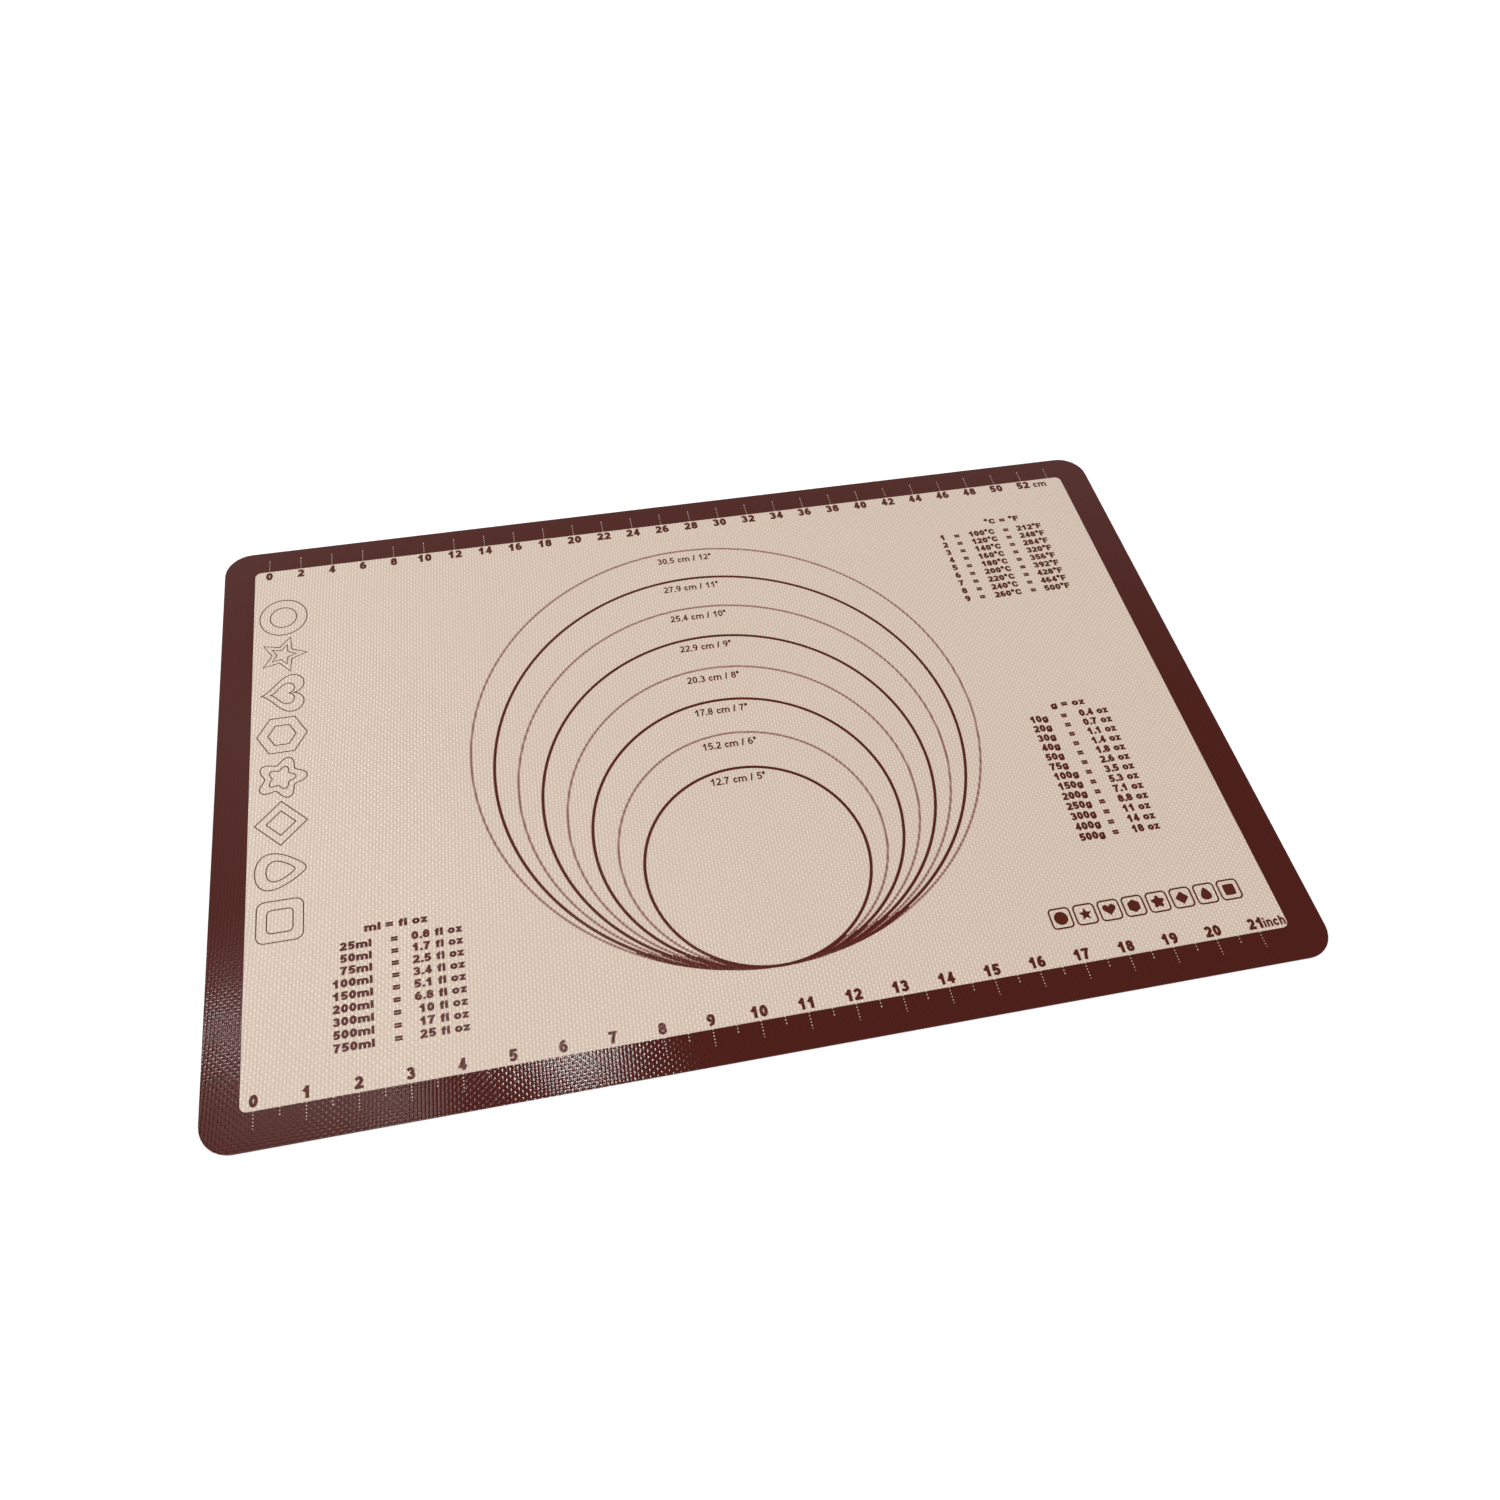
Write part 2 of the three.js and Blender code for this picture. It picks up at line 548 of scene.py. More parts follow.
@dataclass(frozen=True)
class PlainWeave:
    """Plain weave of the glass cloth, which stands out through the silicone and the ink.

    Attributes:
        warp_spacing: From one warp thread to the next. They run along Y.
        weft_spacing: From one weft thread to the next. They run along X.
        warp_lean: How far the warp leans to +X, in degrees.
        weft_lean: How far the weft leans to -Y, in degrees.
        warp_share: Share of the warp in the height between crossings.
        warp_lift: How far warp crowns stand over the mean crown, as a share of the height.
        wander: How far the threads stray from a straight line.
        wander_length: Length over which they stray.
    """

    warp_spacing: float = 1.9
    weft_spacing: float = 1.76
    warp_lean: float = 2.8
    weft_lean: float = 0.45
    warp_share: float = 0.68
    warp_lift: float = 0.28
    wander: float = 1.0
    wander_length: float = 90.0

    def height(self, tree: Tree) -> Socket:
        """Adds the nodes of the weave's height.

        With p and q the cosines of half a turn for each warp and weft thread, the height is the mean of p
        squared and q squared by the warp's share, plus half their difference times pq, plus the warp's lift
        times pq. A crossing is about 1 high and stretched along the thread that lies on top, which changes
        from one crossing to the next, and a pit is 0.

        Args:
            tree: Node tree of the material.

        Returns:
            The height, from 0 in a pit to about 1 on a crown.
        """
        place = add_node(tree, "ShaderNodeTexCoord", out="Object")
        noise = {"Vector": place, "Scale": 1 / (self.wander_length * MM), "Detail": 1.0}
        stray = add_node(tree, "ShaderNodeTexNoise", noise, "Color")
        reach = [2 * self.wander * MM] * 3
        moved = add_node(tree, VECTOR_MATH, {0: stray, 1: reach, 2: place}, operation="MULTIPLY_ADD")
        warp_turn = math.pi / (self.warp_spacing * MM)
        weft_turn = math.pi / (self.weft_spacing * MM)
        warp_way = (warp_turn, -warp_turn * math.tan(math.radians(self.warp_lean)), 0)
        weft_way = (weft_turn * math.tan(math.radians(self.weft_lean)), weft_turn, 0)
        cosines = []
        for way in (warp_way, weft_way):
            phase = add_node(tree, VECTOR_MATH, {0: moved, 1: way}, "Value", operation="DOT_PRODUCT")
            cosines.append(add_node(tree, MATH, {0: phase}, operation="COSINE"))
        p, q = cosines
        pp = add_node(tree, MATH, {0: p, 1: p}, operation="MULTIPLY")
        qq = add_node(tree, MATH, {0: q, 1: q}, operation="MULTIPLY")
        pq = add_node(tree, MATH, {0: p, 1: q}, operation="MULTIPLY")
        half_pq = add_node(tree, MATH, {0: pq, 1: 0.5}, operation="MULTIPLY")
        apart = add_node(tree, MATH, {0: pp, 1: qq}, operation="SUBTRACT")
        mean = add_node(tree, MATH, {0: apart, 1: self.warp_share, 2: qq}, operation="MULTIPLY_ADD")
        long = add_node(tree, MATH, {0: apart, 1: half_pq, 2: mean}, operation="MULTIPLY_ADD")
        return add_node(tree, MATH, {0: pq, 1: self.warp_lift, 2: long}, operation="MULTIPLY_ADD")


WEAVE = PlainWeave()

SILICONE_IOR = 1.41
GLASS_IOR = 1.5


@dataclass(frozen=True)
class WovenFinish:
    """Finish of a surface that the cloth's threads shape.

    Attributes:
        name: Name of the finish.
        crown: Colour on the threads' crowns, where a coat is thin; it is lighter there partly as painted
            light on the crowns.
        groove: Colour between the threads, where it is thicker; it is darker there partly as painted shade in
            the grooves.
        roughness: Roughness of the surface.
        relief: Height of the crowns over the pits.
        ior: Refractive index.
    """

    name: str
    crown: str
    groove: str
    roughness: float
    relief: float
    ior: float = field(default=SILICONE_IOR, kw_only=True)

    def colour(self, tree: Tree, height: Socket) -> Socket:
        """Adds the nodes of the colour, which goes from the groove's to the crown's with the height, and so
        paints shade into the grooves and light onto the crowns.

        Args:
            tree: Node tree of the material.
            height: Height of the weave.

        Returns:
            The colour.
        """
        # Painted shade in the grooves and painted light on the crowns, mixed by the weave's height
        ends = {0: height, MIX_FIRST: linear(self.groove), MIX_SECOND: linear(self.crown)}
        return add_node(tree, MIX, ends, MIX_RESULT, data_type="RGBA")

    def build(self) -> Material:
        """Makes the material, with the threads as its relief.

        Returns:
            The material.
        """
        material, tree = new_material(self.name)
        height = WEAVE.height(tree)
        relief = {"Height": height, "Distance": self.relief * MM, "Strength": 1.0}
        surface = {
            "Base Color": self.colour(tree, height),
            "Roughness": self.roughness,
            "IOR": self.ior,
            "Normal": add_node(tree, "ShaderNodeBump", relief),
        }
        shader = add_node(tree, "ShaderNodeBsdfPrincipled", surface)
        add_node(tree, "ShaderNodeOutputMaterial", {0: shader})
        return material


@dataclass(frozen=True)
class ThinInk(WovenFinish):
    """Ink that is too thin to reach into the grooves.

    Attributes:
        bare: Colour that shows where it has missed them.
        cover: Height of the weave above which it holds.
        cover_edge: How far below and above that height it thins out.
    """

    bare: str
    cover: float
    cover_edge: float = 0.25

    def colour(self, tree: Tree, height: Socket) -> Socket:
        """Adds the nodes of the colour, which is the ink's where it holds.

        Args:
            tree: Node tree of the material.
            height: Height of the weave.

        Returns:
            The colour.
        """
        limits = {0: height, 1: self.cover - self.cover_edge, 2: self.cover + self.cover_edge}
        held = add_node(tree, MAP_RANGE, limits)
        ends = {0: held, MIX_FIRST: linear(self.bare), MIX_SECOND: super().colour(tree, height)}
        return add_node(tree, MIX, ends, MIX_RESULT, data_type="RGBA")


@dataclass(frozen=True)
class Silicone(WovenFinish):
    """Cured silicone rubber, knife-coated over the cloth: satin, with the threads as soft dots, partly of
    painted light on the crowns and painted shade in the grooves.

    Attributes:
        blotch: Colour that slow, faint blotches lean to.
        blotch_size: Size of a blotch.
        blotch_noise: Level of the noise where a blotch starts, and where it is strongest.
        blotch_share: Share of its colour there.
        ghost: Colour of the border where it shows through from the other side, or None.
        ghost_edge: Half width of the ghost's soft edge, over the field's half size.
    """

    blotch: str
    blotch_size: float = 60.0
    blotch_noise: Point = (0.35, 0.75)
    blotch_share: float = 0.3
    ghost: str | None = None
    ghost_edge: float = 0.005

    def colour(self, tree: Tree, height: Socket) -> Socket:
        """Adds the nodes of the colour: the threads with their painted light and shade, the blotches over
        them and the ghost over both.

        Args:
            tree: Node tree of the material.
            height: Height of the weave.

        Returns:
            The colour.
        """
        # The threads: painted light on the crowns and painted shade in the grooves, not held between the two
        # colours
        ends = {0: height, MIX_FIRST: linear(self.groove), MIX_SECOND: linear(self.crown)}
        threads = add_node(tree, MIX, ends, MIX_RESULT, data_type="RGBA", clamp_factor=False)
        place = add_node(tree, "ShaderNodeTexCoord", out="Object")
        noise = {"Vector": place, "Scale": 1 / (self.blotch_size * MM), "Detail": 3.0}
        clouds = add_node(tree, "ShaderNodeTexNoise", noise)
        start, end = self.blotch_noise
        share = add_node(tree, MAP_RANGE, {0: clouds, 1: start, 2: end, 4: self.blotch_share})
        ends = {0: share, MIX_FIRST: threads, MIX_SECOND: linear(self.blotch)}
        colour = add_node(tree, MIX, ends, MIX_RESULT, data_type="RGBA")
        if self.ghost is None:
            return colour
        ends = {0: self._under_border(tree, place), MIX_FIRST: colour, MIX_SECOND: linear(self.ghost)}
        return add_node(tree, MIX, ends, MIX_RESULT, data_type="RGBA")

    def _under_border(self, tree: Tree, place: Socket) -> Socket:
        """Adds the nodes that tell a point outside the field.

        They compare 1 with the larger of its distances across and up from the field's middle, each taken over
        the field's half size.

        Args:
            tree: Node tree of the material.
            place: The point.

        Returns:
            1 under the border, and 0 in the field.
        """
        low = np.array(FIELD_LOW) * MM
        high = np.array(FIELD_HIGH) * MM
        middle = (*((low + high) / 2).tolist(), 0)
        half = (*((high - low) / 2).tolist(), 1)
        apart = add_node(tree, VECTOR_MATH, {0: place, 1: middle}, operation="SUBTRACT")
        share = add_node(tree, VECTOR_MATH, {0: apart, 1: half}, operation="DIVIDE")
        size = add_node(tree, VECTOR_MATH, {0: share}, operation="ABSOLUTE")
        x, y = (add_node(tree, "ShaderNodeSeparateXYZ", {0: size}, axis) for axis in ("X", "Y"))
        most = add_node(tree, MATH, {0: x, 1: y}, operation="MAXIMUM")
        return add_node(tree, MAP_RANGE, {0: most, 1: 1 - self.ghost_edge, 2: 1 + self.ghost_edge})


# Bleached glass threads between the coats: white and matt, with painted shade in the grooves
WOVEN_GLASS = WovenFinish("woven_glass", "#e6dfd3", "#c9c1b4", roughness=0.8, relief=0.12, ior=GLASS_IOR)

# Cream coat of the face: satin, with every crossing as a small bright dot, partly its bump's glint and partly
# painted light on the crowns over painted shade in the grooves
FACE_SILICONE = Silicone(
    "face_silicone",
    "#e6d4c4",
    "#c7b3a2",
    roughness=0.15,
    relief=0.13,
    blotch="#d5c2b2",
)

# Cream coat of the back: duller and flatter, with the border as a pale brown frame and painted shade in the
# grooves
BACK_SILICONE = Silicone(
    "back_silicone",
    "#e5d3c3",
    "#c6b2a1",
    roughness=0.38,
    relief=0.06,
    blotch="#d5c2b2",
    ghost="#a98d7f",
)

# Thick ink of the border: dark red brown, glossy enough to break a window's image into sparks, with faint
# painted shade in the grooves
BORDER_INK = WovenFinish("border_ink", "#4f1e17", "#4a1b14", roughness=0.07, relief=0.0235)

# Ink of the lettering and the bold rings: a solid red brown, with painted shade in the grooves
BOLD_INK = WovenFinish("bold_ink", "#5c241a", "#522016", roughness=0.17, relief=0.05)

# Ink of the fine rings: pale, and broken where it misses the grooves, with painted shade in those it fills
FINE_INK = ThinInk("fine_ink", "#8c5f57", "#82564e", roughness=0.2, relief=0.05, bare="#b99d92", cover=0.3)

# Cut edge, which the border's ink has run over: the same brown, and dull, with faint painted shade in the
# grooves
CUT_EDGE = WovenFinish("cut_edge", "#4f1e17", "#4a1b14", roughness=0.4, relief=0.021)


@dataclass
class Finishes:
    """The built materials of the mat.

    Attributes:
        face: Coat of the face.
        back: Coat of the back.
        cloth: Woven glass between them.
        border: Ink of the border.
        bold: Ink of the lettering and the bold rings.
        fine: Ink of the fine rings.
        edge: The cut edge.
    """

    face: Material = field(default_factory=FACE_SILICONE.build)
    back: Material = field(default_factory=BACK_SILICONE.build)
    cloth: Material = field(default_factory=WOVEN_GLASS.build)
    border: Material = field(default_factory=BORDER_INK.build)
    bold: Material = field(default_factory=BOLD_INK.build)
    fine: Material = field(default_factory=FINE_INK.build)
    edge: Material = field(default_factory=CUT_EDGE.build)


# The mat


def node_box(name: str) -> tuple[np.ndarray, np.ndarray]:
    """Lowest and highest corner of a CAD node in millimetres."""
    low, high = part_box(name)
    return np.array(low) / MM, np.array(high) / MM


def level_of(name: str) -> Level:
    """Heights that a CAD node lies between."""
    low, high = node_box(name)
    return Level(float(low[2]), float(high[2]))


def bake_places(film: Film) -> np.ndarray:
    """Places of the film's face corners on its texture.

    The plan is stretched over the texture. Faces that aren't seen share a low strip under the seen ones.

    Args:
        film: The film.

    Returns:
        One place for each face corner, in the faces' order, as an (N, 2) array.
    """
    margin = 0.01
    strip = 0.05
    low = film.verts[:, :2].min(0)
    span = film.verts[:, :2].max(0) - low
    sizes = np.array([len(face) for face in film.faces])
    corners = np.concatenate([np.array(face) for face in film.faces])
    unit = (film.verts[corners, :2] - low) / span
    seen = np.repeat(np.array(film.shown), sizes)
    u = margin + (1 - 2 * margin) * unit[:, 0]
    v_seen = strip + margin + (1 - strip - 2 * margin) * unit[:, 1]
    v_hidden = margin / 2 + (strip - margin) * unit[:, 1]
    return np.column_stack([u, np.where(seen, v_seen, v_hidden)])


def make_piece(name: str, film: Film, finishes: list[Material]) -> Piece:
    """Makes a piece of the mat from a film and lets it ride on the mat's body.

    Args:
        name: Name of the piece.
        film: Its shape.
        finishes: Its materials, the first of which goes on all faces.

    Returns:
        The new object.
    """
    mesh = bpy.data.meshes.new(name)
    mesh.from_pydata((film.verts * MM).tolist(), [], film.faces)
    layer = mesh.uv_layers.new(name=BAKE_MAP)
    layer.uv.foreach_set("vector", bake_places(film).astype(np.float32).ravel())
    for finish in finishes:
        mesh.materials.append(finish)
    mesh.update()
    piece = bpy.data.objects.new(name, mesh)
    bpy.context.scene.collection.objects.link(piece)
    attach(piece, BODY)
    LOG.info("%s: %d faces", name, len(film.faces))
    return piece


@dataclass
class Sheet:
    """The laminated sheet: a back coat, the woven cloth and a face coat, cut to one outline.

    Attributes:
        corner_radius: Radius of the cut corners.
        corner_facets: Facets of each corner.
        pieces: The three layers from the back up, once they are built.
    """

    corner_radius: float = 17.0
    corner_facets: int = 24
    pieces: list[Piece] = field(default_factory=list)

    def outline(self) -> np.ndarray:
        """Outline of the cut.

        Returns:
            The outline, counterclockwise, as an (N, 2) array.
        """
        low, high = node_box("glass_cloth")
        size = (high - low)[:2]
        return rounded_rectangle(tuple(size), (0, 0), self.corner_radius, self.corner_facets)

    def build(self, finishes: Finishes) -> None:
        """Builds the three layers.

        Args:
            finishes: The mat's materials.
        """
        rows = [
            ("back_layer", "back_coat", finishes.back, CREAM_SLOT, False),
            ("cloth_layer", "glass_cloth", finishes.cloth, CLOTH_SLOT, True),
            ("face_layer", "face_coat", finishes.face, CREAM_SLOT, True),
        ]
        for name, node, finish, slot, shows_top in rows:
            film = slab(self.outline(), level_of(node), shows_top)
            piece = make_piece(name, film, [finish, finishes.edge])
            wall = np.arange(len(film.faces)) >= 2
            piece.data.polygons.foreach_set("material_index", wall.astype(np.int32))
            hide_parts(node)
            self.pieces.append(piece)


@dataclass
class Border:
    """The printed border, with both length scales left bare in it as rows of dots.

    Attributes:
        field_radius: Radius of the field's corners.
        corner_facets: Facets of a corner, at the field and at the cut edge.
        tick_width: Width of the scales' lines.
        cm_step: From one centimetre line to the next.
        cm_zero: Place of the first centimetre line.
        cm_length: Length of the centimetre lines.
        inch_zero: Place of the first inch line.
        inch_length: Length of the inch lines.
        half_length: Length of the half inch lines.
        ink_share: Share of a line that ink in the grooves has closed.
        ink_start: Middle of the first closed stretch, in threads from the field.
    """

    field_radius: float = 3.8
    corner_facets: int = 8
    tick_width: float = 0.5
    cm_step: float = 20.0
    cm_zero: float = -270.3
    cm_length: float = 9.8
    inch_zero: float = -272.7
    inch_length: float = 9.0
    half_length: float = 4.3
    ink_share: float = 0.6
    ink_start: float = 0.6

    def cm_ticks(self) -> np.ndarray:
        """Places of the centimetre lines."""
        return np.arange(self.cm_zero, FIELD_HIGH[0] - self.field_radius, self.cm_step)

    def inch_ticks(self) -> np.ndarray:
        """Places of the inch lines."""
        return np.arange(self.inch_zero, FIELD_HIGH[0] - self.field_radius, MM_PER_INCH)

    def scale_lines(self) -> list[tuple[np.ndarray, np.ndarray]]:
        """Lines of the two scales, in the order of their places.

        Returns:
            Places and signed lengths of the front scale's lines, and of the back scale's.
        """
        inches = self.inch_ticks()
        halves = (inches[1:] + inches[:-1]) / 2
        front_x = np.concatenate([inches, halves])
        front_length = np.repeat([self.inch_length, self.half_length], [len(inches), len(halves)])
        order = np.argsort(front_x)
        back_x = self.cm_ticks()
        return [(front_x[order], -front_length[order]), (back_x, np.full(len(back_x), self.cm_length))]

    def inner_edge(self) -> list[np.ndarray]:
        """The field's outline, with the scales' lines as notches.

        Returns:
            Eight stretches, a corner and a side in turn, counterclockwise from the front right corner.
        """
        size = tuple(np.subtract(FIELD_HIGH, FIELD_LOW))
        middle = tuple(np.add(FIELD_HIGH, FIELD_LOW) / 2)
        corners = np.split(rounded_rectangle(size, middle, self.field_radius, self.corner_facets), 4)
        (front_x, front_length), (back_x, back_length) = self.scale_lines()
        half = self.tick_width / 2 * np.array([-1, -1, 1, 1])
        sides = []
        for x, length, edge, way in (
            (front_x, front_length, FIELD_LOW[1], 1),
            (back_x[::-1], back_length[::-1], FIELD_HIGH[1], -1),
        ):
            across = x[:, None] + way * half
            up = edge + length[:, None] * np.array([0, 1, 1, 0])
            sides.append(np.stack([across, up], 2).reshape(-1, 2))
        none = np.zeros((0, 2))
        return [corners[0], none, corners[1], sides[1], corners[2], none, corners[3], sides[0]]

    def closed_dots(self, level: Level) -> Film:
        """Ink that has run across the scales' lines in the weave's grooves, which leaves rows of bare dots.

        Args:
            level: Heights of the film.

        Returns:
            The closed stretches.
        """
        film = Film()
        step = WEAVE.weft_spacing
        side = np.full(2, self.tick_width / 2)
        reach = np.array([-0.5, 0.5]) * self.ink_share * step
        for (places, lengths), edge in zip(self.scale_lines(), (FIELD_LOW[1], FIELD_HIGH[1])):
            for x, length in zip(places, lengths):
                for number in range(int(abs(length) / step)):
                    ends = edge + np.sign(length) * (number + self.ink_start) * step + reach
                    left = np.column_stack([x - side, ends])
                    right = np.column_stack([x + side, ends])
                    film.add(band(left, right, level, False))
        return film

    def build(self, sheet: Sheet, finishes: Finishes) -> Piece:
        """Builds the border.

        A flat profile is carried round the field. Its inner end follows the field's outline with the notches.
        Its outer end follows the cut edge, straight out from the notches and at like angles round corners.

        Args:
            sheet: The sheet that it is printed on.
            finishes: The mat's materials.

        Returns:
            The border.
        """
        level = level_of("printed_border")
        size = tuple(np.ptp(sheet.outline(), axis=0))
        outer_corners = np.split(rounded_rectangle(size, (0, 0), sheet.corner_radius, self.corner_facets), 4)
        inner = self.inner_edge()
        outer = []
        for number, stretch in enumerate(inner):
            if number % 2 == 0:
                outer.append(outer_corners[number // 2])
            else:
                outer.append(np.column_stack([stretch[:, 0], np.sign(stretch[:, 1]) * size[1] / 2]))
        film = band(np.concatenate(inner), np.concatenate(outer), level, True)
        film.add(self.closed_dots(level))
        piece = make_piece("border_print", film, [finishes.border])
        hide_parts("printed_border")
        return piece


@dataclass(frozen=True)
class Ring:
    """One round guide line.

    Attributes:
        centre: Its centre as an array of two.
        radius: Radius of the line's middle.
        width: Width of the line.
    """

    centre: np.ndarray
    radius: float
    width: float

    @property
    def outer(self) -> float:
        """Radius of the line's outer edge."""
        return self.radius + self.width / 2


@dataclass
class RollingGuides:
    """Nested rings of whole inches that share their lowest point, each with its size under its top.

    Attributes:
        smallest: Size of the smallest ring in inches.
        count: How many rings there are.
        bold_width: Width of every second line, from the first.
        fine_width: Width of the lines between.
        facets: Facets of a full ring.
        label_drop: From the middle of a ring's line, at its top, down to the baseline of its size.
        label_style: Lettering of the sizes.
        meeting_gap: Room left between two lines where they run together, and width of a line's thin end.
        bleed: Widest gap between two lines that bold ink has run across.
        flood_slope: How fast that ink then floods the outer line, over the loss of the gap.
    """

    smallest: int = 5
    count: int = 8
    bold_width: float = 1.75
    fine_width: float = 1.35
    facets: int = 240
    label_drop: float = 10.0
    label_style: Lettering = Lettering(5.0, Weight.REGULAR, stretch=0.82, gap=0.1)
    meeting_gap: float = 0.02
    bleed: float = 0.45
    flood_slope: float = 1.4

    def line(self, ring: Ring, smaller: list[Ring], level: Level) -> tuple[Film, Film]:
        """Draws one ring, and the ink that has flooded it from inside, near the meeting point.

        Both are bands about a circle. The flood starts where the ray leaves the smaller rings, which is minus
        the distance between the two centres times the ray's rise, plus the root of the smaller radius squared
        less the distance times the ray's run, squared. From where the gap is as wide as the bleed, the flood
        reaches further into the line as the gap is lost, until it has the line's whole width.

        Args:
            ring: The ring.
            smaller: The rings inside it.
            level: Heights of the film.

        Returns:
            The line, and its flood.
        """
        angles = np.linspace(0, 2 * math.pi, self.facets, endpoint=False) - QUARTER_TURN
        ray = np.column_stack([np.cos(angles), np.sin(angles)])
        inner = ring.outer - ring.width
        taken = np.zeros(self.facets)
        for other in smaller:
            apart = ring.centre[1] - other.centre[1]
            reach = (other.outer + self.meeting_gap) ** 2 - (apart * ray[:, 0]) ** 2
            taken = np.maximum(taken, -apart * ray[:, 1] + np.sqrt(np.maximum(reach, 0)))
        thin_end = ring.outer - self.meeting_gap
        loss = self.bleed - (inner - taken)
        shore = np.clip(inner + self.flood_slope * loss, inner, thin_end)
        is_flood = (loss > 0) & (taken < thin_end)
        is_line = shore < thin_end
        is_line |= np.roll(is_line, 1) | np.roll(is_line, -1)
        start, core = (ring.centre + ray * radius[:, None] for radius in (taken, shore))
        edge = ring.centre + ray * ring.outer
        line = Film()
        for run in runs(is_line):
            line.add(band(core[run], edge[run], level, len(run) == self.facets))
        flood = Film()
        for run in runs(is_flood):
            flood.add(band(start[run], core[run], level, False))
        return line, flood

    def build(self, finishes: Finishes) -> list[Piece]:
        """Builds the rings and their sizes. The flood of a fine line is bold ink.

        Args:
            finishes: The mat's materials.

        Returns:
            The pieces.
        """
        pieces = []
        labels = Film()
        rings: list[Ring] = []
        for number in range(self.count):
            node = f"guide_ring_{number + 1}"
            low, high = node_box(node)
            level = level_of(node)
            is_bold = number % 2 == 0
            inches = self.smallest + number
            centre = np.array([(low[0] + high[0]) / 2, high[1] - (high[0] - low[0]) / 2])
            ring = Ring(centre, inches * MM_PER_INCH / 2, self.bold_width if is_bold else self.fine_width)
            inks = [finishes.bold] if is_bold else [finishes.fine, finishes.bold]
            film, flood = self.line(ring, rings, level)
            line_faces = len(film.faces)
            film.add(flood)
            piece = make_piece(f"ring_print_{number + 1}", film, inks)
            if not is_bold:
                is_flood = np.arange(len(film.faces)) >= line_faces
                piece.data.polygons.foreach_set("material_index", is_flood.astype(np.int32))
            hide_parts(node)
            pieces.append(piece)
            rings.append(ring)
            text = f'{inches * CM_PER_INCH:.1f} cm / {inches}"'
            baseline = centre[1] + ring.radius - self.label_drop
            labels.add(self.label_style.draw(text, (centre[0], baseline), level))
        pieces.append(make_piece("ring_sizes", labels, [finishes.bold]))
        return pieces


@dataclass
class Print(ABC):
    """Something printed in bold ink, which is built as one piece.

    Attributes:
        name: Name of the piece.
    """

    name: str

    @abstractmethod
    def film(self, level: Level) -> Film:
        """Draws the print.

        Args:
            level: Heights of the film.

        Returns:
            All its ink.
        """

    def build(self, finishes: Finishes) -> Piece:
        """Builds the print.

        Args:
            finishes: The mat's materials.

        Returns:
            The piece.
        """
        return make_piece(self.name, self.film(level_of("printed_border")), [finishes.bold])


@dataclass
class ScaleNumerals(Print):
    """Numerals of a length scale, inside the field along the border.

    Attributes:
        places: Places of the scale's lines that have a numeral.
        step: From one numeral to the next.
        baseline: Height of the baseline.
        unit: Unit at the end of the scale.
        unit_gap: From the last line to the unit.
        style: Lettering of the numerals.
        unit_style: Lettering of the unit.
    """

    places: np.ndarray
    step: int
    baseline: float
    unit: str
    unit_gap: float
    style: Lettering = Lettering(6.5, Weight.BOLD, stretch=0.91, gap=0.085)
    unit_style: Lettering = Lettering(5.9, Weight.MEDIUM, stretch=0.82, gap=0.12)

    def film(self, level: Level) -> Film:
        """Draws the numerals and the unit.

        Args:
            level: Heights of the film.

        Returns:
            All their ink.
        """
        film = Film()
        for number, x in enumerate(self.places):
            film.add(self.style.draw(str(self.step * number), (x, self.baseline), level))
        unit_place = (self.places[-1] + self.unit_gap, self.baseline)
        film.add(self.unit_style.draw(self.unit, unit_place, level, Align.LEFT))
        return film


@dataclass(frozen=True)
class Column:
    """One column of a table.

    Attributes:
        x: Place that its entries are aligned to.
        align: How they are aligned.
        entries: Its entries from the top down.
    """

    x: float
    align: Align
    entries: list[str]


@dataclass
class Table(Print):
    """A table of plain numbers that go from one unit to another.

    Attributes:
        head: Heading.
        head_place: Middle of the heading.
        first_row: Height of the middle of the first row.
        columns: The columns.
        style: Lettering of the rows.
        head_style: Lettering of the heading.
        row_step: From one row to the next.
    """

    head: str
    head_place: Point
    first_row: float
    columns: list[Column]
    style: Lettering
    head_style: Lettering = Lettering(4.8, Weight.BOLD, stretch=1.13, gap=0.09)
    row_step: float = 7.0

    def film(self, level: Level) -> Film:
        """Draws the heading and the rows.

        Args:
            level: Heights of the film.

        Returns:
            All their ink.
        """
        x, y = self.head_place
        film = self.head_style.draw(self.head, (x, y - self.head_style.cap_height / 2), level)
        for column in self.columns:
            for row, text in enumerate(column.entries):
                y = self.first_row - row * self.row_step - self.style.cap_height / 2
                film.add(self.style.draw(text, (column.x, y), level, column.align))
        return film


def amount(value: float) -> str:
    """A number with one decimal place below ten and none above."""
    return f"{value:.0f}" if value >= 10 else f"{value:.1f}"


